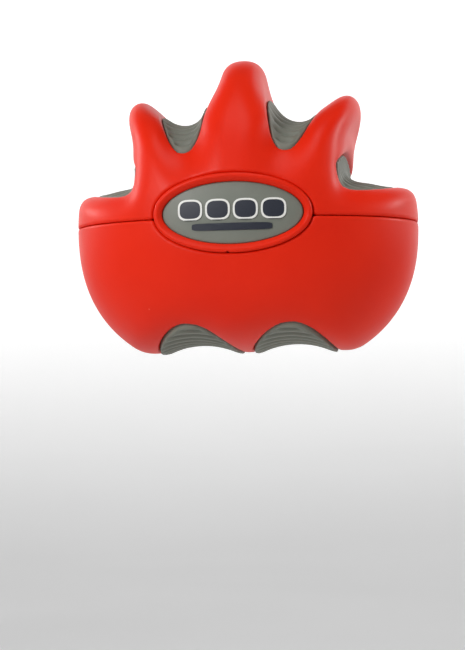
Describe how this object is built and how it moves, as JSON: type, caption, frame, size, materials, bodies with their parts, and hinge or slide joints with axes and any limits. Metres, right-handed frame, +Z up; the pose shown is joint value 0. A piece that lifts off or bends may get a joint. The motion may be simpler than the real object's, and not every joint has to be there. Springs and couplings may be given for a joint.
{
  "type": "finger exerciser",
  "caption": "Soft hand-held finger exerciser: a rounded body with finger wells between fins, sprung ribbed finger pads and thumb pads, and an oval badge on the front.",
  "frame": {"origin": "middle of the base plane, under the centre of the body", "axes": "+Z up, +X to the right across the four finger wells, +Y to the back; the badge faces -Y"},
  "size_m": [0.075, 0.0563, 0.0651],
  "materials": {
    "soft_red": "soft-touch satin elastomer",
    "grey_pad": "matte ribbed elastomer",
    "badge_grey": "matte moulded plastic",
    "print_white": "flat printed ink",
    "frame_plastic": "moulded engineering plastic",
    "tray_plastic": "moulded engineering plastic",
    "spring_steel": "drawn spring wire"
  },
  "bodies": {
    "housing": {"lower_body": "soft_red", "upper_body": "soft_red", "core_frame": "frame_plastic", "badge_bezel": "soft_red", "badge_plate": "badge_grey", "badge_print": "print_white", "finger_spring_1": "spring_steel", "finger_spring_2": "spring_steel", "finger_spring_3": "spring_steel", "finger_spring_4": "spring_steel", "thumb_spring_left": "spring_steel", "thumb_spring_right": "spring_steel"},
    "finger_1": {"finger_pad_1": "grey_pad", "finger_tray_1": "tray_plastic"},
    "finger_2": {"finger_pad_2": "grey_pad", "finger_tray_2": "tray_plastic"},
    "finger_3": {"finger_pad_3": "grey_pad", "finger_tray_3": "tray_plastic"},
    "finger_4": {"finger_pad_4": "grey_pad", "finger_tray_4": "tray_plastic"},
    "thumb_left": {"thumb_pad_left": "grey_pad", "thumb_tray_left": "tray_plastic"},
    "thumb_right": {"thumb_pad_right": "grey_pad", "thumb_tray_right": "tray_plastic"}
  },
  "joints": [
    {"name": "finger_press_1", "type": "slide", "parent": "housing", "child": "finger_1", "axis": [0, 0, -1], "range_m": [0, 0.006], "stiffness_N_per_m": 2000, "springref_m": -0.0015, "deforming": ["finger_spring_1"]},
    {"name": "finger_press_2", "type": "slide", "parent": "housing", "child": "finger_2", "axis": [0, 0, -1], "range_m": [0, 0.006], "stiffness_N_per_m": 2000, "springref_m": -0.0015, "deforming": ["finger_spring_2"]},
    {"name": "finger_press_3", "type": "slide", "parent": "housing", "child": "finger_3", "axis": [0, 0, -1], "range_m": [0, 0.006], "stiffness_N_per_m": 2000, "springref_m": -0.0015, "deforming": ["finger_spring_3"]},
    {"name": "finger_press_4", "type": "slide", "parent": "housing", "child": "finger_4", "axis": [0, 0, -1], "range_m": [0, 0.006], "stiffness_N_per_m": 2000, "springref_m": -0.0015, "deforming": ["finger_spring_4"]},
    {"name": "thumb_press_left", "type": "slide", "parent": "housing", "child": "thumb_left", "axis": [0, 0, 1], "range_m": [0, 0.005], "stiffness_N_per_m": 2000, "springref_m": -0.0015, "deforming": ["thumb_spring_left"]},
    {"name": "thumb_press_right", "type": "slide", "parent": "housing", "child": "thumb_right", "axis": [0, 0, 1], "range_m": [0, 0.005], "stiffness_N_per_m": 2000, "springref_m": -0.0015, "deforming": ["thumb_spring_right"]}
  ]
}
